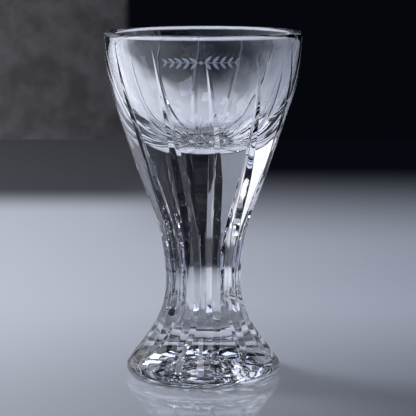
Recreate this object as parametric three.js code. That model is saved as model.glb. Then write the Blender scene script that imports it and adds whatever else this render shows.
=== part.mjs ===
// Footed shot glass of pressed clear crystal, in millimetres, +Z up.
// The origin is the centre of the foot, on the surface that the glass stands on.
//
// The glass is an hourglass of revolution: a cup with a rounded rim, a solid stem that narrows to a
// waist, and a flared foot with a rounded lip and a domed hollow underneath. Twelve mitre-cut flutes
// run from just below the rim to the foot. Each is blunt at the foot, and narrows up the cup to a long
// point that leans to the left.

import * as THREE from 'three';
import { NURBSCurve } from 'three/addons/curves/NURBSCurve.js';
import { mergeVertices } from 'three/addons/utils/BufferGeometryUtils.js';

// Overall size
const HEIGHT = 98.1;
const RIM_RADIUS = 28.0;
const FOOT_RADIUS = 22.1;

// Rim: a full round as thick as the wall
const WALL = 2.7;
const SHOULDER_HEIGHT = HEIGHT - WALL / 2;

// Control points of the outer wall between the foot's lip and the rim: radius, height
const WALL_CONTROLS = [
  [14.55, 13],
  [11.15, 20],
  [10.4, 28],
  [11.3, 36],
  [12.7, 44],
  [16.45, 53],
  [20.35, 64],
  [24.4, 76],
  [27.7, 87],
];

// Foot: the lip's round, the flat ring it rests on, and the hollow inside the ring
const LIP_RADIUS = 2.4;
const LIP_START = THREE.MathUtils.degToRad(36.9);
const FLARE_HANDLE = 4.0;
const HOLLOW_RADIUS = 16.0;
const HOLLOW_DEPTH = 4.9;

// Control points of the cup's inside, from below the rim to the middle of its floor: radius, height
const CUP_CONTROLS = [
  [24.7, 92.5],
  [23.2, 86],
  [20.0, 78],
  [15.6, 70.6],
  [8.3, 66.2],
  [0, 66.2],
];

// Flutes
const FLUTES = 12;
const FLUTE_WIDTH = 4.1;
const FLUTE_DEPTH_RATIO = 0.25;
const FLUTE_TOP = 95.2;
const FLUTE_UPPER_TAPER = 37.0;
const FLUTE_UPPER_POWER = 0.93;
const FLUTE_LOWER_TAPER = 8.0;
const FLUTE_LOWER_POWER = 0.75;
const FLUTE_BOTTOM = 6.1;
const FLUTE_LEAST_WIDTH = 0.5;
const FLUTE_LEAN = THREE.MathUtils.degToRad(4);
const FLUTE_LEAN_REACH = 25.0;

// Where the bowl, the stem and the foot meet, and the gap between them
const STEM_TOP = 57.0;
const STEM_BOTTOM = 15.0;
const JOINT_GAP = 0.3;

// Frosted garland on the front of the cup
const GARLAND_BEADS = 7;
const GARLAND_SPAN = 22.0;
const GARLAND_HEIGHT = 91.0;
const GARLAND_CENTRE = -0.6;
const GARLAND_TALLEST = 2.0;
const GARLAND_SHORTEST = 0.9;
const GARLAND_NECK = 0.25;
const GARLAND_THICKNESS = 0.12;
const GARLAND_GAP = 0.3;

// Fineness of the faceting
const PANEL_COLUMNS = 2;
const COLUMNS_PER_FLUTE = 3 + PANEL_COLUMNS;
const ROW_STEP = 2.6;
const ARC_STEPS = 5;
const BEAD_STEPS = 8;
const CUP_STEPS = 16;

const glass = new THREE.MeshStandardMaterial({
  color: 0xdfe7ee,
  roughness: 0.03,
  metalness: 0.0,
  transparent: true,
  opacity: 0.35,
});
const frost = new THREE.MeshStandardMaterial({ color: 0xeef1f4, roughness: 0.75, metalness: 0.0 });

const shoulder = new THREE.Vector2(RIM_RADIUS, SHOULDER_HEIGHT);
const lipCentre = new THREE.Vector2(FOOT_RADIUS - LIP_RADIUS, LIP_RADIUS);

function onArc(centre, radius, angle) {
  return new THREE.Vector2(centre.x + radius * Math.cos(angle), centre.y + radius * Math.sin(angle));
}

function toPoints(pairs) {
  return pairs.map(([radius, height]) => new THREE.Vector2(radius, height));
}

// A cubic B-spline that starts and ends at its first and last control points.
function spline(controls) {
  const spans = controls.length - 3;
  const inner = Array.from({ length: spans - 1 }, (_, i) => (i + 1) / spans);
  return new NURBSCurve(3, [0, 0, 0, 0, ...inner, 1, 1, 1, 1], controls);
}

// The outer wall, from where the lip's round ends up to the shoulder.
const lipStart = onArc(lipCentre, LIP_RADIUS, LIP_START);
const flareHandle = onArc(lipStart, FLARE_HANDLE, LIP_START + Math.PI / 2);
const wallCurve = spline([lipStart, flareHandle, ...toPoints(WALL_CONTROLS), shoulder]);

// The inside of the cup, from the rim's inner edge to the middle of its floor.
const rimInside = new THREE.Vector2(RIM_RADIUS - WALL, SHOULDER_HEIGHT);
const cupCurve = spline([rimInside, ...toPoints(CUP_CONTROLS)]);

// The outer wall's radius at one height, found by halving the curve's parameter.
function outerRadius(height) {
  let low = 0;
  let high = 1;
  for (let i = 0; i < 40; i++) {
    const middle = (low + high) / 2;
    if (wallCurve.getPoint(middle).y < height) {
      low = middle;
    } else {
      high = middle;
    }
  }
  return wallCurve.getPoint(low).x;
}

// Points up the outer wall between two heights, both included.
function outerWall(from, to) {
  const steps = Math.ceil(Math.abs(to - from) / ROW_STEP);
  const points = [];
  for (let i = 0; i <= steps; i++) {
    const height = THREE.MathUtils.lerp(from, to, i / steps);
    points.push(new THREE.Vector2(outerRadius(height), height));
  }
  return points;
}

function arcPoints(centre, radius, from, to, steps) {
  const points = [];
  for (let i = 0; i <= steps; i++) {
    points.push(onArc(centre, radius, THREE.MathUtils.lerp(from, to, i / steps)));
  }
  return points;
}

// A flute is widest along the stem, with a long point up the cup and a blunt one at the foot.
function fluteWidth(height) {
  const upper = THREE.MathUtils.clamp((FLUTE_TOP - height) / FLUTE_UPPER_TAPER, 0, 1);
  const lower = THREE.MathUtils.clamp((height - FLUTE_BOTTOM) / FLUTE_LOWER_TAPER, 0, 1);
  return FLUTE_WIDTH * upper ** FLUTE_UPPER_POWER * (1 - (1 - lower) ** 2) ** FLUTE_LOWER_POWER;
}

// How far round the flute's left edge has moved at a height, from where its upper point is.
function lean(height) {
  const down = THREE.MathUtils.clamp((FLUTE_TOP - height) / FLUTE_LEAN_REACH, 0, 1);
  return FLUTE_LEAN * down * (2 - down);
}

// The angle of each column of a sector: the flute's left edge, its valley and its right edge, then the
// columns of the smooth panel beside it.
function columnAngle(column, radius, height) {
  const sector = (2 * Math.PI) / FLUTES;
  const width = Math.max(fluteWidth(height), FLUTE_LEAST_WIDTH);
  const flute = Math.min(width / radius, 0.7 * sector);
  if (column <= 2) {
    return (flute * column) / 2;
  }
  return flute + ((sector - flute) * (column - 2)) / (PANEL_COLUMNS + 1);
}

// Spins a closed outline, and moves the rows of its outer wall in along the flutes.
function fluted(outline, isOuterWall) {
  const segments = FLUTES * COLUMNS_PER_FLUTE;
  const geometry = new THREE.LatheGeometry(outline, segments);
  const position = geometry.attributes.position;
  for (let i = 0; i < position.count; i++) {
    const point = outline[i % outline.length];
    const segment = Math.floor(i / outline.length) % segments;
    const column = segment % COLUMNS_PER_FLUTE;
    const guide = Math.max(point.x, 1);
    const start = ((segment - column) / segments) * 2 * Math.PI;
    const fluteHeight = isOuterWall(point) ? point.y : FLUTE_TOP - FLUTE_UPPER_TAPER / 2;
    const across = columnAngle(column, isOuterWall(point) ? guide : RIM_RADIUS, fluteHeight);
    const angle = start + across + lean(point.y);
    let radius = point.x;
    if (isOuterWall(point) && column === 1) {
      radius -= FLUTE_DEPTH_RATIO * fluteWidth(point.y);
    }
    position.setXYZ(i, radius * Math.sin(angle), point.y, radius * Math.cos(angle));
  }
  return solid(geometry);
}

// Joins shared vertices, drops the slivers at the axis, and turns the solid upright.
function solid(geometry) {
  geometry.deleteAttribute('normal');
  geometry.deleteAttribute('uv');
  const merged = mergeVertices(geometry, 1e-5);
  const index = merged.index.array;
  const kept = [];
  for (let i = 0; i < index.length; i += 3) {
    const [a, b, c] = index.subarray(i, i + 3);
    if (a !== b && b !== c && c !== a) {
      kept.push(a, b, c);
    }
  }
  merged.setIndex(kept);
  merged.rotateX(Math.PI / 2);
  return merged;
}

function bowl() {
  const rimCentre = new THREE.Vector2(RIM_RADIUS - WALL / 2, SHOULDER_HEIGHT);
  const wall = outerWall(STEM_TOP + JOINT_GAP, SHOULDER_HEIGHT);
  const rim = arcPoints(rimCentre, WALL / 2, 0, Math.PI, 2 * ARC_STEPS).slice(1, -1);
  const cup = cupCurve.getPoints(CUP_STEPS);
  const outline = [new THREE.Vector2(0, STEM_TOP + JOINT_GAP), ...wall, ...rim, ...cup];
  return fluted(outline, (point) => wall.includes(point));
}

function stem() {
  const wall = outerWall(STEM_BOTTOM + JOINT_GAP, STEM_TOP);
  const outline = [
    new THREE.Vector2(0, STEM_BOTTOM + JOINT_GAP),
    ...wall,
    new THREE.Vector2(0, STEM_TOP),
  ];
  return fluted(outline, (point) => wall.includes(point));
}

// The hollow under the foot is a spherical cap.
function hollowPoints() {
  const sphere = (HOLLOW_RADIUS ** 2 + HOLLOW_DEPTH ** 2) / (2 * HOLLOW_DEPTH);
  const half = Math.asin(HOLLOW_RADIUS / sphere);
  const centre = new THREE.Vector2(0, HOLLOW_DEPTH - sphere);
  return arcPoints(centre, sphere, Math.PI / 2, Math.PI / 2 - half, ARC_STEPS);
}

function foot() {
  const wall = outerWall(lipStart.y, STEM_BOTTOM);
  const lip = arcPoints(lipCentre, LIP_RADIUS, -Math.PI / 2, LIP_START, 2 * ARC_STEPS).slice(0, -1);
  const outline = [...hollowPoints(), ...lip, ...wall, new THREE.Vector2(0, STEM_BOTTOM)];
  return fluted(outline, (point) => wall.includes(point));
}

// Half the height of the garland at a distance along it: pointed beads, tallest in the middle.
function garlandHalfHeight(along) {
  const pitch = GARLAND_SPAN / GARLAND_BEADS;
  const bead = Math.min(Math.floor(along / pitch), GARLAND_BEADS - 1);
  const middle = (GARLAND_BEADS - 1) / 2;
  const rank = 1 - Math.abs(bead - middle) / middle;
  const tallest = THREE.MathUtils.lerp(GARLAND_SHORTEST, GARLAND_TALLEST, rank);
  const across = along / pitch - bead;
  return Math.max(tallest * Math.sin(Math.PI * across), GARLAND_NECK);
}

// A thin strip bent round the front of the cup, as tall at each place as the garland is there.
function garland() {
  const steps = BEAD_STEPS * GARLAND_BEADS;
  const geometry = new THREE.BoxGeometry(GARLAND_SPAN, 2, GARLAND_THICKNESS, steps, 2, 1);
  const position = geometry.attributes.position;
  for (let i = 0; i < position.count; i++) {
    const along = position.getX(i) + GARLAND_SPAN / 2;
    const height = GARLAND_HEIGHT + position.getY(i) * garlandHalfHeight(along);
    const wall = outerRadius(height);
    const radius = wall + GARLAND_GAP + GARLAND_THICKNESS / 2 + position.getZ(i);
    const angle = (GARLAND_CENTRE + position.getX(i)) / RIM_RADIUS;
    position.setXYZ(i, radius * Math.sin(angle), height, radius * Math.cos(angle));
  }
  return solid(geometry);
}

function part(name, geometry, material) {
  const mesh = new THREE.Mesh(geometry, material);
  mesh.name = name;
  return mesh;
}

const shotGlass = new THREE.Group();
shotGlass.add(part('bowl', bowl(), glass));
shotGlass.add(part('stem', stem(), glass));
shotGlass.add(part('foot', foot(), glass));
shotGlass.add(part('frosted_garland', garland(), frost));

export default shotGlass;
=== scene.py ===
"""Footed cut-crystal shot glass: its looks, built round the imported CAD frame."""
import math

import bpy
import numpy as np
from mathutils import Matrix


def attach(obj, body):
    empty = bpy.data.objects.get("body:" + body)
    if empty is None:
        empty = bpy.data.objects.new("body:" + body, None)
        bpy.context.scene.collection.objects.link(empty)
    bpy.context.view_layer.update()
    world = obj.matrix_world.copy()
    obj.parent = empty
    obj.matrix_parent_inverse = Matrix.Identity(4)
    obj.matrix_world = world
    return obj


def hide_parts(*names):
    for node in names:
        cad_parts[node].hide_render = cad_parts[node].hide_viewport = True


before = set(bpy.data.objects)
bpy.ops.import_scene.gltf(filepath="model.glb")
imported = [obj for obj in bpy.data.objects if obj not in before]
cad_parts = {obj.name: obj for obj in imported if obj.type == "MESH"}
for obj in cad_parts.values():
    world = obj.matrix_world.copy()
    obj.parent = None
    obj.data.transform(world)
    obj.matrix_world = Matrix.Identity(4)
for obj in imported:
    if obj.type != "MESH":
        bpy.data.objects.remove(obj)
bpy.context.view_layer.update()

# ---------------------------------------------------------------- the glass's dimensions, in metres
MM = 0.001
HEIGHT = 98.1 * MM
RIM_RADIUS = 28.0 * MM
FOOT_RADIUS = 22.1 * MM
WALL = 2.7 * MM
SHOULDER_HEIGHT = HEIGHT - WALL / 2

# The foot's lip is an arc up to LIP_END, and the wall leaves it along the tangent there.
LIP_RADIUS = 2.4 * MM
LIP_END = math.radians(36.9)
FLARE_HANDLE = 4.0 * MM
HOLLOW_RADIUS = 16.0 * MM
HOLLOW_DEPTH = 4.9 * MM

# Control points of the outer wall above the lip, and of the cup's inside: (radius, height) in mm
WALL_CONTROLS = (
    (14.55, 13.0),
    (11.15, 20.0),
    (10.4, 28.0),
    (11.3, 36.0),
    (12.7, 44.0),
    (16.45, 53.0),
    (20.35, 64.0),
    (24.4, 76.0),
    (27.7, 87.0),
)
CUP_CONTROLS = (
    (24.7, 92.5),
    (23.2, 86.0),
    (20.0, 78.0),
    (15.6, 70.6),
    (8.3, 66.2),
    (0.0, 66.2),
)

# Rows of the glass's outline
HOLLOW_ROWS = 12
LIP_ROWS = 14
WALL_ROWS = 130
RIM_ROWS = 14
CUP_ROWS = 50
LAST_PLACE = 1 - 1e-9

# Flutes: the depth is a share of the width, and the valley is at a share of the width from the left
FLUTES = 12
SECTOR = 2 * math.pi / FLUTES
FLUTE_WIDTH = 4.1 * MM
FLUTE_DEPTH_RATIO = 0.25
FLUTE_VALLEY = 0.5
FLUTE_TOP = 95.2 * MM
FLUTE_UPPER_TAPER = 37.0 * MM
UPPER_POWER = 0.93
FLUTE_BOTTOM = 6.1 * MM
FLUTE_LOWER_TAPER = 8.0 * MM
LOWER_POWER = 0.75
FLUTE_LEAN = math.radians(4.0)
LEAN_REACH = 25.0 * MM
FLUTE_ROUNDING = 0.09 * MM
FULL_ROUNDING_WIDTH = FLUTE_WIDTH / 2

# Panels between the flutes: how flat they are, and between which heights that fades in and out
PANEL_FLATNESS = 0.9
FLAT_FROM = 12 * MM
FLAT_FADE_IN = 18 * MM
FLAT_UNTIL = 88 * MM
FLAT_FADE_OUT = 30 * MM

# Columns of a sector. Those at an edge are spaced in roundings, which keeps the cut edges crisp.
EDGE_COLUMNS = (-2.8, -1.3, -0.5, 0.0, 0.5, 1.3, 2.8)
PANEL_COLUMNS = 10
LEAST_COLUMN_SPAN = 0.35 * MM
LEAST_GUIDE_RADIUS = 1.5 * MM
WIDEST_FLUTE = 0.72 * SECTOR

# Frosted laurel on the front, below the rim
LAUREL_HEIGHT = 91.0 * MM
LAUREL_CENTRE = -0.6 * MM
LAUREL_PAIRS = 5
FIRST_LEAF = 1.0 * MM
LEAF_PITCH = 2.1 * MM
LEAF_LENGTH = 2.6 * MM
LEAF_WIDTH = 0.85 * MM
LEAF_ANGLE = math.radians(38)
LEAF_BEND = 0.12
LEAF_POINTS = 13
LEAF_FULLNESS = 0.8
LEAF_ROOT_WIDTH = 1.15
LEAF_THINNING = 0.3
LAST_LEAF_SHRINK = 0.5
TWIG_START = 0.7 * MM
TWIG_WIDTH = 0.22 * MM
TWIG_TAPER = 0.6
TWIG_POINTS = 40
BERRY_RADIUS = 0.5 * MM
BERRY_END = 0.05
BERRY_POINTS = 12
FROST_LIFT = 0.01 * MM
FROST_THICKNESS = 0.02 * MM

# ---------------------------------------------------------------- camera, light and colours
# The camera stands in front of the glass and looks a little down on it.
CAMERA_DISTANCE = 0.5187
CAMERA_HEIGHT = 0.1256
CAMERA_PITCH = math.radians(8.533)
CAMERA_YAW = math.radians(0.15)
CAMERA_LENS = 159.4

# Colours by bearing in degrees: 0 is straight behind the glass, 90 is to its right. The backdrop is what
# the camera sees: the end of a grey wall on the left, and the dark. The room is what stands above it.
BACKDROP = (
    (-180, (0.0, 0.0, 0.0)),
    (-9, (0.082, 0.084, 0.095)),
    (-5.2, (0.056, 0.056, 0.064)),
    (-2.9, (0.039, 0.039, 0.046)),
    (0, (0.039, 0.039, 0.046)),
    (180, (0.0, 0.0, 0.0)),
)
WALL_EDGE = -2.37
WALL_EDGE_BLUR = 0.0004
WALL_PATCHES = 70
WALL_DETAIL = 4
WALL_DARKER = (0.75, 0.75, 0.73)
WALL_LIGHTER = (1.25, 1.25, 1.25)
THE_DARK = (0.0016, 0.0022, 0.0042)
ROOM = (
    (-180, (0.22, 0.25, 0.44)),
    (-150, (0.31, 0.36, 0.5)),
    (-142, (0.45, 0.48, 0.62)),
    (-122, (0.43, 0.47, 0.62)),
    (-115, (0.55, 0.6, 0.88)),
    (-84, (0.79, 0.88, 1.12)),
    (-78, (0.76, 0.8, 0.95)),
    (-52, (0.76, 0.8, 0.95)),
    (-48, (0.71, 0.72, 0.76)),
    (-31, (0.71, 0.72, 0.76)),
    (-28, (0.25, 0.27, 0.33)),
    (-12, (0.23, 0.25, 0.31)),
    (-8.5, (0.025, 0.026, 0.032)),
    (-4, (0.01, 0.011, 0.015)),
    (0, (0.002, 0.003, 0.005)),
    (66, (0.002, 0.003, 0.005)),
    (71, (0.14, 0.17, 0.25)),
    (119, (0.13, 0.14, 0.22)),
    (123, (0.002, 0.003, 0.005)),
    (156, (0.002, 0.003, 0.005)),
    (166, (0.2, 0.23, 0.42)),
    (180, (0.22, 0.25, 0.44)),
)
CEILING = (0.004, 0.005, 0.008)

# Heights of a direction, as the sine of its elevation: where one ring gives way to the next
BACKDROP_TOP = math.sin(math.radians(3))
ROOM_TOP = math.sin(math.radians(23))
ROOM_FADE = 0.12

# Soft boxes: bearing, elevation, width and height in degrees as the glass sees them, radiance, colour
LAMP_DISTANCE = 0.95
COOL = (0.84, 0.87, 1.0)
PALE = (0.94, 0.95, 1.0)
BLUE = (0.66, 0.72, 1.0)
LAMPS = {
    "window_middle": (-60, 24.5, 20, 13, 1.35, PALE),
    "window_high": (-70, 40.5, 40, 19, 2.4, PALE),
    "window_top": (-45, 56, 30, 12, 0.82, BLUE),
    "window_over": (-45, 68.5, 30, 13, 1.8, BLUE),
    "curtain_middle": (-40, 23.5, 20, 15, 0.45, PALE),
    "curtain_high": (-40, 45, 20, 10, 0.95, BLUE),
    "back_high": (-10, 40.5, 20, 19, 1.5, BLUE),
    "back_right": (15, 27, 10, 8, 2.0, COOL),
    "back_right_high": (25, 35.5, 10, 9, 0.93, COOL),
    "far_right": (55, 35.5, 10, 9, 0.9, PALE),
    "far_right_high": (50, 45, 20, 10, 2.6, BLUE),
    "left_strip": (-110, 27, 20, 8, 0.6, BLUE),
    "left_strip_high": (-110, 45, 20, 10, 1.8, COOL),
    "left_top": (-127, 56, 15, 12, 3.15, COOL),
    "right_strip": (75, 16.5, 10, 13, 1.25, PALE),
    "right_top_near": (52, 56, 15, 12, 0.83, COOL),
    "right_top": (82, 56, 15, 12, 1.2, PALE),
    "right_top_far": (112, 56, 15, 12, 1.35, COOL),
    "right_over": (120, 68, 110, 13, 0.55, COOL),
    "front_right": (145, 45, 30, 10, 2.9, BLUE),
    "front_spark": (155, 27, 10, 8, 0.5, PALE),
    "front_band": (170, 31.5, 20, 17, 0.38, BLUE),
    "front_left": (-172, 56, 15, 12, 4.1, COOL),
}
OVERHEAD_SIZE = 0.9
OVERHEAD_RADIANCE = 1.8
KEY = (-60, 25, 22, 20, 17.0, PALE)

CRYSTAL_IOR = 1.52
WAVES_SCALE = 90
WAVES_DETAIL = 1.5
WAVES_STRENGTH = 0.25
WAVES_DISTANCE = 0.0004

FROST_THIN = (0.62, 0.65, 0.72)
FROST_THICK = (0.93, 0.95, 1.0)
FROST_ROUGHNESS = 0.6
GRAIN_SCALE = 2500
GRAIN_DETAIL = 3
GRAIN_STRENGTH = 0.4
GRAIN_DISTANCE = 0.00002

# The range of a noise that is spread from one tone to the other
NOISE_RANGE = (0.3, 0.7)

# Colours of the table, with light and shade painted into them: painted shade in front of the glass, with
# the glass's painted shadow on the right there; pale behind it, with painted light brighter on the left;
# painted shade at its far end; and painted shade where little light falls
# Painted shade in front of the glass, and on the right there the glass's painted shadow
PAINTED_SHADE_FRONT_LEFT = (0.48, 0.50, 0.53)
PAINTED_SHADOW_FRONT_RIGHT = (0.095, 0.105, 0.13)
# Painted light behind the glass, brighter on the left, where the light falls from
PAINTED_LIGHT_PALE_LEFT = (0.74, 0.76, 0.81)
PAINTED_SHADE_PALE_RIGHT = (0.43, 0.46, 0.52)
# Painted shade where the table's far end falls into the dark
PAINTED_SHADE_FAR_LEFT = (0.088, 0.088, 0.094)
PAINTED_SHADE_FAR_RIGHT = (0.002, 0.003, 0.005)
# Painted shade on the right, and towards the camera where no light falls
DIM = (0.16, 0.18, 0.24)
UNLIT = (0.01, 0.012, 0.016)
TABLE_ROUGHNESS = 0.045
TABLE_IOR = 1.8

# The table's corners, and where one of its colours gives way to the next, all in metres
TABLE_SIDE = 1.3
TABLE_NEAR = -1.5
TABLE_FAR = 0.6
FRONT_TO_RIGHT = (-0.10, 0.10)
PALE_TO_RIGHT = (-0.12, 0.16)
FRONT_TO_PALE = (-0.10, 0.11)
LEFT_HALF_ENDS = (0.30, 0.385)
RIGHT_HALF_ENDS = (0.20, 0.47)
LEFT_TO_RIGHT_HALF = (-0.05, 0.02)
DIM_TO_RIGHT = (0.13, 0.26)
UNLIT_TO_FRONT = (-0.12, -0.30)
UNLIT_AHEAD = (0.03, 0.09)
AHEAD_SLOPE = 1.2


# ---------------------------------------------------------------- the outline of revolution
def spline(controls, steps):
    """Points along the cubic B-spline that starts and ends at the first and last control points."""
    controls = np.array(controls, float)
    knots = np.concatenate([np.zeros(3), np.linspace(0, 1, len(controls) - 2), np.ones(3)])
    place = np.linspace(0, LAST_PLACE, steps + 1)
    weights = [((low <= place) & (place < high)).astype(float) for low, high in zip(knots, knots[1:])]
    for degree in (1, 2, 3):
        weights = [
            share(place - knots[i], knots[i + degree] - knots[i]) * weights[i]
            + share(knots[i + degree + 1] - place, knots[i + degree + 1] - knots[i + 1]) * weights[i + 1]
            for i in range(len(weights) - 1)
        ]
    return np.stack(weights, 1) @ controls


def share(part, whole):
    """The part over the whole, or nothing where knots coincide."""
    return part / whole if whole > 0 else 0 * part


def arc(centre, radius, start, end, steps):
    t = np.linspace(start, end, steps + 1)
    return np.stack([centre[0] + radius * np.cos(t), centre[1] + radius * np.sin(t)], 1)


def hollow_rows():
    """The domed hollow under the foot, from its middle to the ring that the glass stands on."""
    sphere = (HOLLOW_RADIUS**2 + HOLLOW_DEPTH**2) / (2 * HOLLOW_DEPTH)
    half = math.asin(HOLLOW_RADIUS / sphere)
    centre = (0, HOLLOW_DEPTH - sphere)
    return arc(centre, sphere, math.pi / 2, math.pi / 2 - half, HOLLOW_ROWS)


def lip_rows():
    centre = (FOOT_RADIUS - LIP_RADIUS, LIP_RADIUS)
    return arc(centre, LIP_RADIUS, -math.pi / 2, LIP_END, LIP_ROWS)


def wall_rows():
    """The outer wall from the lip up to the shoulder under the rim."""
    x = FOOT_RADIUS - LIP_RADIUS + LIP_RADIUS * math.cos(LIP_END)
    z = LIP_RADIUS + LIP_RADIUS * math.sin(LIP_END)
    flare = (x - FLARE_HANDLE * math.sin(LIP_END), z + FLARE_HANDLE * math.cos(LIP_END))
    inner = [(r * MM, h * MM) for r, h in WALL_CONTROLS]
    return spline([(x, z), flare, *inner, (RIM_RADIUS, SHOULDER_HEIGHT)], WALL_ROWS)


def rim_rows():
    return arc((RIM_RADIUS - WALL / 2, SHOULDER_HEIGHT), WALL / 2, 0, math.pi, RIM_ROWS)


def cup_rows():
    """The inside of the cup, from the rim to the middle of its floor."""
    inner = [(r * MM, h * MM) for r, h in CUP_CONTROLS]
    return spline([(RIM_RADIUS - WALL, SHOULDER_HEIGHT), *inner], CUP_ROWS)


def outline():
    """The outline from the middle of the underside round to the cup's floor, and which rows are cut."""
    stretches = [
        (hollow_rows(), False),
        (lip_rows(), False),
        (wall_rows()[1:], True),
        (rim_rows()[1:], False),
        (cup_rows()[1:], False),
    ]
    rows = np.concatenate([s for s, _ in stretches])
    cut = np.concatenate([np.full(len(s), c) for s, c in stretches])
    return rows, cut


# ---------------------------------------------------------------- the flutes
def flute_width(z):
    """Widest along the stem, with a long point up the cup and a blunt one at the foot."""
    upper = np.clip((z - (FLUTE_TOP - FLUTE_UPPER_TAPER)) / FLUTE_UPPER_TAPER, 0, 1)
    lower = np.clip((FLUTE_BOTTOM + FLUTE_LOWER_TAPER - z) / FLUTE_LOWER_TAPER, 0, 1)
    return FLUTE_WIDTH * (1 - upper) ** UPPER_POWER * (1 - lower**2) ** LOWER_POWER


def lean(z):
    """How far round the flute's left edge has moved at a height, from where its upper point is."""
    down = np.clip((FLUTE_TOP - z) / LEAN_REACH, 0, 1)
    return FLUTE_LEAN * down * (2 - down)


def column_span(z):
    """The width the flute's columns are spread over: its own, opening out again past its ends."""
    past = np.maximum(z - FLUTE_TOP, FLUTE_BOTTOM - z)
    span = np.maximum(flute_width(z), LEAST_COLUMN_SPAN + 2 * past)
    return np.clip(span, LEAST_COLUMN_SPAN, FLUTE_WIDTH)


def column_places():
    """Where a sector's columns lie: (share of the flute, share of the panel, offset in roundings)."""
    places = [(0.0, 0.0, offset) for offset in EDGE_COLUMNS]
    places += [(FLUTE_VALLEY / 2, 0.0, 0.0)]
    places += [(FLUTE_VALLEY, 0.0, offset) for offset in EDGE_COLUMNS]
    places += [((1 + FLUTE_VALLEY) / 2, 0.0, 0.0)]
    places += [(1.0, 0.0, offset) for offset in EDGE_COLUMNS]
    places += [(1.0, k / PANEL_COLUMNS, 0.0) for k in range(1, PANEL_COLUMNS)]
    return places


PLACES = column_places()
COLUMNS = FLUTES * len(PLACES)


def rounding(width):
    """How far a cut edge is softened: less where the flute is narrow."""
    return FLUTE_ROUNDING * np.minimum(1, width / FULL_ROUNDING_WIDTH)


def flute_depth(x, width):
    """How far the surface is cut in at x along the arc from the flute's left edge."""
    soft = rounding(width)
    slope = 2 * FLUTE_DEPTH_RATIO
    left = x / (2 * FLUTE_VALLEY)
    right = (width - x) / (2 * (1 - FLUTE_VALLEY))
    inward = (left + right) / 2 - np.sqrt(((left - right) / 2) ** 2 + soft**2)
    return slope * (inward + np.sqrt(inward**2 + soft**2)) / 2


def flatness(z):
    """Panels are flat on the stem and turn round towards the rim and the lip."""
    up = np.clip((FLAT_UNTIL - z) / FLAT_FADE_OUT, 0, 1)
    down = np.clip((z - FLAT_FROM) / FLAT_FADE_IN, 0, 1)
    s = min(up, down)
    return s * s * (3 - 2 * s)


def fluted_ring(radius, z, cut):
    """One row of one sector: its columns' angles and radii."""
    width = flute_width(z) if cut else 0.0
    span = column_span(z) if cut else FLUTE_WIDTH
    guide = max(radius, LEAST_GUIDE_RADIUS)
    flute = min(span / guide, WIDEST_FLUTE)
    soft = rounding(span) / guide
    half_panel = (SECTOR - flute) / 2
    angles, radii = [], []
    for flute_share, panel_share, offset in PLACES:
        local = flute * flute_share + (SECTOR - flute) * panel_share + offset * soft
        depth = 0.0
        if cut and width > 0:
            depth = float(flute_depth(local * radius, width))
        if cut and not 0 < local <= flute:
            wrapped = local if local > 0 else local + SECTOR
            flat = math.cos(half_panel) / math.cos(wrapped - (flute + half_panel))
            depth += radius * (1 - flat) * PANEL_FLATNESS * flatness(z)
        angles.append(local)
        radii.append(radius - depth)
    return np.array(angles), np.array(radii)


def add_object(name, data):
    thing = bpy.data.objects.new(name, data)
    bpy.context.scene.collection.objects.link(thing)
    return thing


def build_glass():
    """The whole glass as one closed mesh: rings of columns between two middle points."""
    rows, cut = outline()
    vertices = [(0, 0, rows[0][1])]
    for (radius, z), is_cut in zip(rows[1:-1], cut[1:-1]):
        angles, radii = fluted_ring(radius, z, is_cut)
        for k in range(FLUTES):
            a = angles + k * SECTOR + lean(z)
            ring = np.stack([radii * np.sin(a), -radii * np.cos(a), np.full(len(a), z)], 1)
            vertices.extend(ring.tolist())
    vertices.append((0, 0, rows[-1][1]))
    last_ring = len(rows) - 3
    faces = []
    for i in range(COLUMNS):
        j = (i + 1) % COLUMNS
        faces.append((0, 1 + j, 1 + i))
        for r in range(last_ring):
            low = 1 + r * COLUMNS
            high = low + COLUMNS
            faces.append((low + i, low + j, high + j, high + i))
        top = 1 + last_ring * COLUMNS
        faces.append((top + i, top + j, len(vertices) - 1))
    mesh = bpy.data.meshes.new("cut_crystal_glass")
    mesh.from_pydata(vertices, [], faces)
    mesh.shade_smooth()
    return add_object("cut_crystal_glass", mesh)


# ---------------------------------------------------------------- the frosted laurel
OUTER_WALL = wall_rows()


def surface_radius(angle, z):
    """The fluted outer wall's radius, at an angle from the front."""
    radius = np.interp(z, OUTER_WALL[:, 1], OUTER_WALL[:, 0])
    local = (angle - lean(z) + SECTOR / 4) % SECTOR - SECTOR / 4
    return radius - flute_depth(local * radius, flute_width(z))


def leaf_edges(along, up, length, width, angle):
    """The two edges of a pointed leaf, as (along, up) pairs from its root to its tip."""
    t = np.linspace(0, 1, LEAF_POINTS)
    half = width / 2 * np.sin(math.pi * t) ** LEAF_FULLNESS * (LEAF_ROOT_WIDTH - LEAF_THINNING * t)
    bend = LEAF_BEND * length * np.sin(math.pi * t / 2) * np.sign(angle)
    edges = []
    for side in (-1, 1):
        x = t * length
        y = bend * t + side * half
        across = along + x * math.cos(angle) - y * math.sin(angle)
        over = up + x * math.sin(angle) + y * math.cos(angle)
        edges.append(np.stack([across, over], 1))
    return edges


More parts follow.
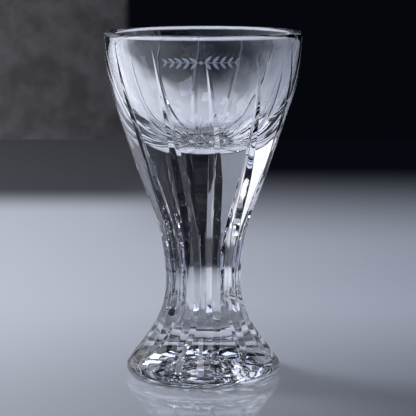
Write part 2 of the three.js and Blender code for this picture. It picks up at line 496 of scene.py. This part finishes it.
def add_patch(vertices, faces, lower, upper):
    """A thin closed strip between two edges, bent onto the glass."""
    rows = np.stack([lower, (lower + upper) / 2, upper], 1)
    steps, wide = rows.shape[:2]
    start = len(vertices)
    for lift in (FROST_LIFT, FROST_LIFT + FROST_THICKNESS):
        for across, z in rows.reshape(-1, 2):
            angle = across / RIM_RADIUS
            radius = surface_radius(angle, z) + lift
            vertices.append((radius * math.sin(angle), -radius * math.cos(angle), z))
    layer = wide * steps
    for i in range(steps - 1):
        for j in range(wide - 1):
            a = start + wide * i + j
            faces.append((a, a + 1, a + 1 + wide, a + wide))
            b = a + layer
            faces.append((b, b + wide, b + 1 + wide, b + 1))
        for j in (0, wide - 1):
            a = start + wide * i + j
            side = (a, a + wide, a + wide + layer, a + layer)
            faces.append(side if j == 0 else side[::-1])
    for i, turned in ((0, True), (steps - 1, False)):
        for j in range(wide - 1):
            a = start + wide * i + j
            end = (a, a + 1, a + 1 + layer, a + layer)
            faces.append(end[::-1] if turned else end)


def add_band(vertices, faces, across, half):
    """A level strip at the laurel's height, as wide to each side as half says."""
    lower = np.stack([across, LAUREL_HEIGHT - half], 1)
    upper = np.stack([across, LAUREL_HEIGHT + half], 1)
    add_patch(vertices, faces, lower, upper)


def build_laurel():
    """A twig of paired leaves to each side of a berry."""
    vertices, faces = [], []
    reach = LAUREL_PAIRS * LEAF_PITCH
    for side in (-1, 1):
        for k in range(LAUREL_PAIRS):
            root = LAUREL_CENTRE + side * (FIRST_LEAF + k * LEAF_PITCH)
            size = 1 - LAST_LEAF_SHRINK * (k / LAUREL_PAIRS) ** 2
            for tilt in (-1, 1):
                angle = tilt * LEAF_ANGLE if side > 0 else math.pi - tilt * LEAF_ANGLE
                edges = leaf_edges(root, LAUREL_HEIGHT, LEAF_LENGTH * size, LEAF_WIDTH * size, angle)
                add_patch(vertices, faces, *edges)
        t = np.linspace(TWIG_START, reach, TWIG_POINTS)
        half = TWIG_WIDTH / 2 * (1 - TWIG_TAPER * t / reach)
        add_band(vertices, faces, LAUREL_CENTRE + side * t, half)
    t = np.linspace(BERRY_END, math.pi - BERRY_END, BERRY_POINTS)
    add_band(vertices, faces, LAUREL_CENTRE - BERRY_RADIUS * np.cos(t), BERRY_RADIUS * np.sin(t))
    mesh = bpy.data.meshes.new("frosted_laurel")
    mesh.from_pydata(vertices, [], faces)
    return add_object("frosted_laurel", mesh)


# ---------------------------------------------------------------- shader nodes
def new_material(name):
    material = bpy.data.materials.new(name)
    material.use_nodes = True
    nodes = material.node_tree.nodes
    return material, nodes, material.node_tree.links, nodes["Principled BSDF"]


def graded(nodes, links, source, low, high):
    """A smooth ramp from 0 to 1 as the source goes from low to high."""
    ramp = nodes.new("ShaderNodeMapRange")
    ramp.interpolation_type = "SMOOTHSTEP"
    ramp.inputs["From Min"].default_value = low
    ramp.inputs["From Max"].default_value = high
    links.new(source, ramp.inputs["Value"])
    return ramp.outputs["Result"]


def blended(nodes, links, factor, first, second):
    """A colour between two others, each of them a plain colour or another node's output."""
    mix = nodes.new("ShaderNodeMix")
    mix.data_type = "RGBA"
    links.new(factor, mix.inputs["Factor"])
    for socket, colour in ((mix.inputs["A"], first), (mix.inputs["B"], second)):
        if isinstance(colour, tuple):
            socket.default_value = (*colour, 1)
        else:
            links.new(colour, socket)
    return mix.outputs["Result"]


def calculated(nodes, links, operation, *terms):
    """The result of a calculation on terms, each of them a number or another node's output."""
    step = nodes.new("ShaderNodeMath")
    step.operation = operation
    for socket, term in zip(step.inputs, terms):
        if isinstance(term, (int, float)):
            socket.default_value = term
        else:
            links.new(term, socket)
    return step.outputs[0]


def noise(nodes, links, vector, scale, detail):
    texture = nodes.new("ShaderNodeTexNoise")
    texture.inputs["Scale"].default_value = scale
    texture.inputs["Detail"].default_value = detail
    links.new(vector, texture.inputs["Vector"])
    return texture.outputs["Fac"]


def add_bump(nodes, links, shader, height, strength, distance):
    bump = nodes.new("ShaderNodeBump")
    bump.inputs["Strength"].default_value = strength
    bump.inputs["Distance"].default_value = distance
    links.new(height, bump.inputs["Height"])
    links.new(bump.outputs["Normal"], shader.inputs["Normal"])


def mottled(nodes, links, vector, colour):
    """A colour made a little lighter and darker in soft patches."""
    tone = graded(nodes, links, noise(nodes, links, vector, WALL_PATCHES, WALL_DETAIL), *NOISE_RANGE)
    product = nodes.new("ShaderNodeMix")
    product.data_type = "RGBA"
    product.blend_type = "MULTIPLY"
    product.inputs["Factor"].default_value = 1
    links.new(colour, product.inputs["A"])
    links.new(blended(nodes, links, tone, WALL_DARKER, WALL_LIGHTER), product.inputs["B"])
    return product.outputs["Result"]


def turn_share(degrees):
    """A bearing as a share of a whole turn, from straight in front round by the left."""
    return (degrees + 180) / 360


def ring(nodes, links, turn, stops):
    """A colour that changes with the bearing. The bearing comes as a share of a whole turn."""
    ramp = nodes.new("ShaderNodeValToRGB")
    links.new(turn, ramp.inputs["Fac"])
    elements = ramp.color_ramp.elements
    elements[0].color = (*stops[0][1], 1)
    elements[1].color = (*stops[-1][1], 1)
    for degrees, colour in stops[1:-1]:
        elements.new(turn_share(degrees)).color = (*colour, 1)
    return ramp.outputs["Color"]


# ---------------------------------------------------------------- materials
def crystal():
    """Clear glass with the faint waviness of pressed and fire-polished crystal."""
    material, nodes, links, shader = new_material("crystal")
    shader.inputs["Base Color"].default_value = (1.0, 1.0, 1.0, 1)
    shader.inputs["Roughness"].default_value = 0.0
    shader.inputs["IOR"].default_value = CRYSTAL_IOR
    shader.inputs["Transmission Weight"].default_value = 1.0
    place = nodes.new("ShaderNodeTexCoord").outputs["Object"]
    waves = noise(nodes, links, place, WAVES_SCALE, WAVES_DETAIL)
    add_bump(nodes, links, shader, waves, WAVES_STRENGTH, WAVES_DISTANCE)
    return material


def frost():
    """Fine etched white with a grain, a little thin in places."""
    material, nodes, links, shader = new_material("frost")
    place = nodes.new("ShaderNodeTexCoord").outputs["Object"]
    grain = noise(nodes, links, place, GRAIN_SCALE, GRAIN_DETAIL)
    tone = graded(nodes, links, grain, *NOISE_RANGE)
    links.new(blended(nodes, links, tone, FROST_THIN, FROST_THICK), shader.inputs["Base Color"])
    add_bump(nodes, links, shader, grain, GRAIN_STRENGTH, GRAIN_DISTANCE)
    shader.inputs["Roughness"].default_value = FROST_ROUGHNESS
    return material


# ---------------------------------------------------------------- stage, light and camera
def ahead(nodes, links, x, y):
    """How far a place is in front of the glass, less the more it is to one side."""
    aside = calculated(nodes, links, "ABSOLUTE", x)
    behind = calculated(nodes, links, "MULTIPLY_ADD", aside, AHEAD_SLOPE, y)
    return calculated(nodes, links, "MULTIPLY", behind, -1)


def table_painted_light_and_shade(nodes, links, x, y):
    """Pale, with painted light brighter on the left, painted shade in front and a painted shadow of the
    glass in front on the right, painted shade at the far end, and painted unlit shade towards the
    camera.
    """
    front = blended(nodes, links, graded(nodes, links, x, *FRONT_TO_RIGHT), PAINTED_SHADE_FRONT_LEFT, PAINTED_SHADOW_FRONT_RIGHT)
    pale = blended(nodes, links, graded(nodes, links, x, *PALE_TO_RIGHT), PAINTED_LIGHT_PALE_LEFT, PAINTED_SHADE_PALE_RIGHT)
    near = blended(nodes, links, graded(nodes, links, y, *FRONT_TO_PALE), front, pale)
    left = blended(nodes, links, graded(nodes, links, y, *LEFT_HALF_ENDS), near, PAINTED_SHADE_FAR_LEFT)
    right = blended(nodes, links, graded(nodes, links, y, *RIGHT_HALF_ENDS), near, PAINTED_SHADE_FAR_RIGHT)
    table = blended(nodes, links, graded(nodes, links, x, *LEFT_TO_RIGHT_HALF), left, right)
    for source, limits, colour in (
        (x, DIM_TO_RIGHT, DIM),
        (y, UNLIT_TO_FRONT, UNLIT),
        (ahead(nodes, links, x, y), UNLIT_AHEAD, UNLIT),
    ):
        table = blended(nodes, links, graded(nodes, links, source, *limits), table, colour)
    return table


def build_floor():
    """A pale glossy table, with light and shade painted into its colour."""
    corners = [
        (-TABLE_SIDE, TABLE_NEAR, 0),
        (TABLE_SIDE, TABLE_NEAR, 0),
        (TABLE_SIDE, TABLE_FAR, 0),
        (-TABLE_SIDE, TABLE_FAR, 0),
    ]
    mesh = bpy.data.meshes.new("floor")
    mesh.from_pydata(corners, [], [(0, 1, 2, 3)])
    material, nodes, links, shader = new_material("floor")
    split = nodes.new("ShaderNodeSeparateXYZ")
    links.new(nodes.new("ShaderNodeTexCoord").outputs["Object"], split.inputs[0])
    colour = table_painted_light_and_shade(nodes, links, split.outputs["X"], split.outputs["Y"])
    links.new(colour, shader.inputs["Base Color"])
    shader.inputs["Roughness"].default_value = TABLE_ROUGHNESS
    shader.inputs["IOR"].default_value = TABLE_IOR
    mesh.materials.append(material)
    floor = add_object("floor", mesh)


def build_world():
    """A dark studio: black behind on the right, a grey wall on the left, and dim light from in front."""
    world = bpy.data.worlds.new("studio")
    bpy.context.scene.world = world
    world.use_nodes = True
    nodes, links = world.node_tree.nodes, world.node_tree.links
    direction = nodes.new("ShaderNodeTexCoord").outputs["Generated"]
    split = nodes.new("ShaderNodeSeparateXYZ")
    links.new(direction, split.inputs[0])
    up = split.outputs["Z"]
    bearing = calculated(nodes, links, "ARCTAN2", split.outputs["X"], split.outputs["Y"])
    whole_turn = nodes.new("ShaderNodeMapRange")
    whole_turn.inputs["From Min"].default_value = -math.pi
    whole_turn.inputs["From Max"].default_value = math.pi
    links.new(bearing, whole_turn.inputs["Value"])
    turn = whole_turn.outputs["Result"]
    wall = mottled(nodes, links, direction, ring(nodes, links, turn, BACKDROP))
    edge = turn_share(WALL_EDGE)
    beyond = graded(nodes, links, turn, edge - WALL_EDGE_BLUR, edge + WALL_EDGE_BLUR)
    backdrop = blended(nodes, links, beyond, wall, THE_DARK)
    room = ring(nodes, links, turn, ROOM)
    above_backdrop = graded(nodes, links, up, BACKDROP_TOP, 2 * BACKDROP_TOP)
    above_room = graded(nodes, links, up, ROOM_TOP, ROOM_TOP + ROOM_FADE)
    low = blended(nodes, links, above_backdrop, backdrop, room)
    links.new(blended(nodes, links, above_room, low, CEILING), nodes["Background"].inputs["Color"])


def area_lamp(name, width, height, radiance, colour):
    """A rectangular lamp that the camera doesn't see."""
    data = bpy.data.lights.new(name, "AREA")
    data.shape = "RECTANGLE"
    data.size = width
    data.size_y = height
    data.energy = radiance * math.pi * width * height
    data.color = colour
    lamp = add_object(name, data)
    lamp.visible_camera = False
    return lamp


def soft_box(name, bearing, elevation, wide, tall, radiance, colour):
    """A soft box that faces the middle of the glass."""
    turn, rise = math.radians(bearing), math.radians(elevation)
    width = 2 * LAMP_DISTANCE * math.cos(rise) * math.tan(math.radians(wide) / 2)
    height = 2 * LAMP_DISTANCE * math.tan(math.radians(tall) / 2)
    lamp = area_lamp(name, width, height, radiance, colour)
    level = LAMP_DISTANCE * math.cos(rise)
    middle = HEIGHT / 2 + LAMP_DISTANCE * math.sin(rise)
    lamp.location = (level * math.sin(turn), level * math.cos(turn), middle)
    lamp.rotation_euler = (math.pi / 2 - rise, 0, math.pi - turn)
    return lamp


def build_lights():
    """The lights that the glass shows, and two lamps that light only the table and the frost."""
    for name, lamp in LAMPS.items():
        soft_box(name, *lamp)
    overhead = area_lamp("overhead", OVERHEAD_SIZE, OVERHEAD_SIZE, OVERHEAD_RADIANCE, PALE)
    overhead.location = (0, 0, LAMP_DISTANCE)
    overhead.data.use_shadow = False
    key = soft_box("key", *KEY)
    for lamp in (overhead, key):
        lamp.visible_glossy = False
        lamp.visible_transmission = False


def build_camera():
    data = bpy.data.cameras.new("camera")
    data.lens = CAMERA_LENS
    camera = add_object("camera", data)
    camera.location = (0, -CAMERA_DISTANCE, CAMERA_HEIGHT)
    camera.rotation_euler = (math.pi / 2 - CAMERA_PITCH, 0, -CAMERA_YAW)
    bpy.context.scene.camera = camera


# ---------------------------------------------------------------- assembly
build_camera()
build_world()
build_floor()
build_lights()

glass = build_glass()
glass.data.materials.append(crystal())
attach(glass, "root")
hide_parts("bowl", "stem", "foot")

laurel = build_laurel()
laurel.data.materials.append(frost())
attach(laurel, "root")
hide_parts("frosted_garland")

bpy.context.scene.view_settings.view_transform = "Standard"
